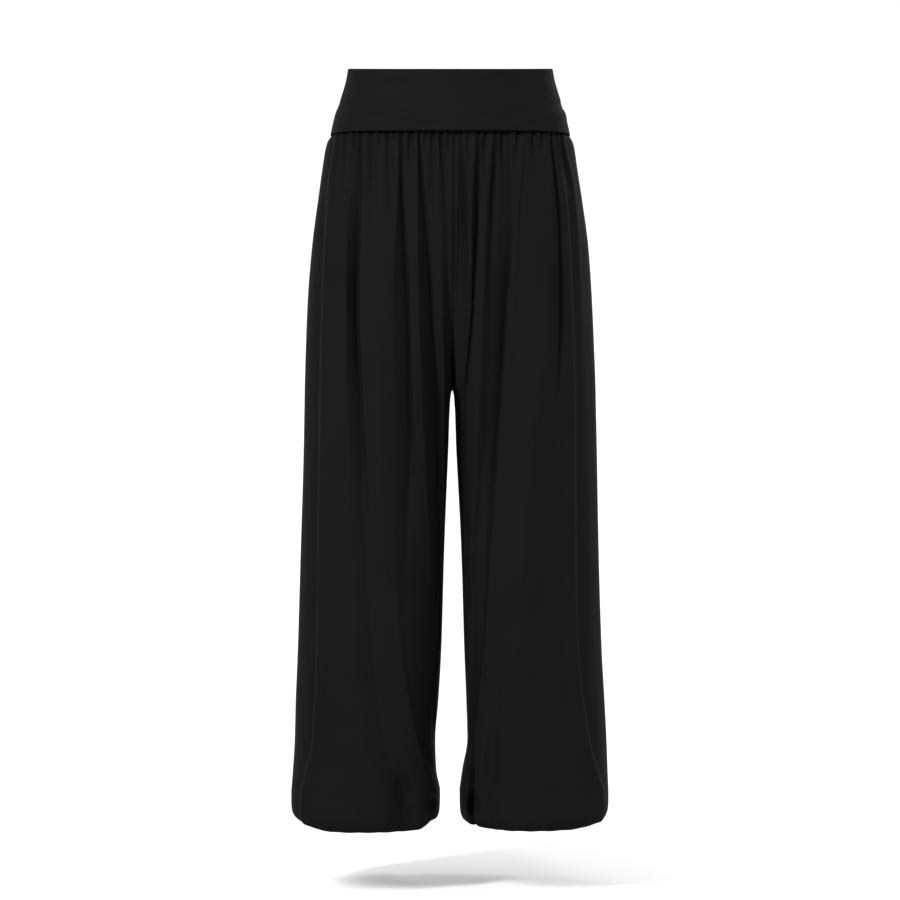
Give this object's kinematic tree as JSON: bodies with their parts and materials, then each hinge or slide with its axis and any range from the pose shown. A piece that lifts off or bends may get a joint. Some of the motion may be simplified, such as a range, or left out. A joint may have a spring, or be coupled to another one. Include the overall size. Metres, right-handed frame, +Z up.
{
  "type": "wide leg pants",
  "caption": "Wide leg jersey pants with a fold-over waistband, gathers below it and ballooning elastic hems, worn shape.",
  "frame": {"origin": "centre of the waist opening, level with the top of the band at the side seams", "axes": "+Z up along the hanging trousers, -Y to the wearer's front, +X to the wearer's left"},
  "size_m": [0.4146, 0.2645, 0.998],
  "materials": {
    "leg_jersey": "matt black jersey, fine knit",
    "band_jersey": "matt black jersey, fine knit, doubled"
  },
  "bodies": {
    "root": {"waistband_front": "band_jersey", "waistband_back": "band_jersey", "leg_front_left": "leg_jersey", "leg_front_right": "leg_jersey", "leg_back_left": "leg_jersey", "leg_back_right": "leg_jersey", "hem_casing_left": "leg_jersey", "hem_casing_right": "leg_jersey"}
  },
  "joints": []
}
